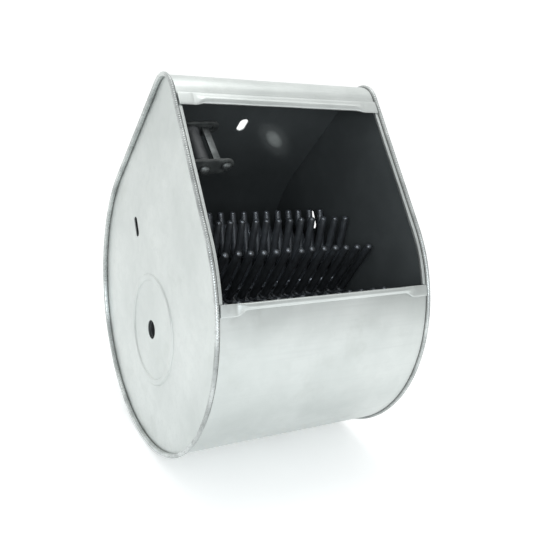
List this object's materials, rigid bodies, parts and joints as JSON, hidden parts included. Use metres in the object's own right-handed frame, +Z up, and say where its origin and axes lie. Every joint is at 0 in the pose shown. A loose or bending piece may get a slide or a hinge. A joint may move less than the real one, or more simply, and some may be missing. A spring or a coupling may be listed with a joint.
{
  "type": "drum poultry plucker hood",
  "caption": "Teardrop galvanised housing with an open front slope, holding a black rotor with rows of rubber fingers that turns on a cross shaft.",
  "frame": {"origin": "middle of the flat back slope, on its outer face, half way across the width", "axes": "+Z up with the ridge on top, +X along the rotor's shaft towards its drive end, -Y out of the open front"},
  "size_m": [0.3163, 0.4059, 0.4937],
  "materials": {
    "galvanised_sheet": "satin galvanised sheet with a faint mottled spangle",
    "black_lining": "smooth glossy black coating",
    "finger_rubber": "smooth moulded black rubber",
    "drum_paint": "satin black paint",
    "dark_casting": "dark satin casting",
    "bright_steel": "zinc-plated steel",
    "bush_plastic": "matte black moulded plastic"
  },
  "bodies": {
    "housing": {"body_wrap": "galvanised_sheet", "left_end_plate": "galvanised_sheet", "right_end_plate": "galvanised_sheet", "left_rim": "galvanised_sheet", "right_rim": "galvanised_sheet", "left_edge_strip": "galvanised_sheet", "right_edge_strip": "galvanised_sheet", "top_hem": "galvanised_sheet", "bottom_hem": "galvanised_sheet", "wrap_lining": "black_lining", "left_side_lining": "black_lining", "right_side_lining": "black_lining", "left_bush": "bush_plastic", "right_bush": "bush_plastic", "bracket_yoke": "dark_casting", "spool_pin": "bright_steel", "tie_bar": "bright_steel", "lug_bolt": "bright_steel"},
    "rotor": {"rotor_shaft": "drum_paint", "rotor_drum": "drum_paint", "left_rotor_disc": "drum_paint", "right_rotor_disc": "drum_paint", "finger_row_01": "finger_rubber", "finger_row_02": "finger_rubber", "finger_row_03": "finger_rubber", "finger_row_04": "finger_rubber", "finger_row_05": "finger_rubber", "finger_row_06": "finger_rubber", "finger_row_07": "finger_rubber", "finger_row_08": "finger_rubber", "finger_row_09": "finger_rubber", "finger_row_10": "finger_rubber", "finger_row_11": "finger_rubber", "finger_row_12": "finger_rubber", "finger_row_13": "finger_rubber", "finger_row_14": "finger_rubber"},
    "spool": {"spool": "bush_plastic"}
  },
  "joints": [
    {"name": "rotor_spin", "type": "hinge", "parent": "housing", "child": "rotor", "pos_m": [0, -0.08786, -0.2468], "axis": [1, 0, 0], "continuous": true},
    {"name": "spool_spin", "type": "hinge", "parent": "housing", "child": "spool", "pos_m": [-0.12335, -0.14072, 0.00495], "axis": [0, -0.806, -0.592], "continuous": true}
  ]
}
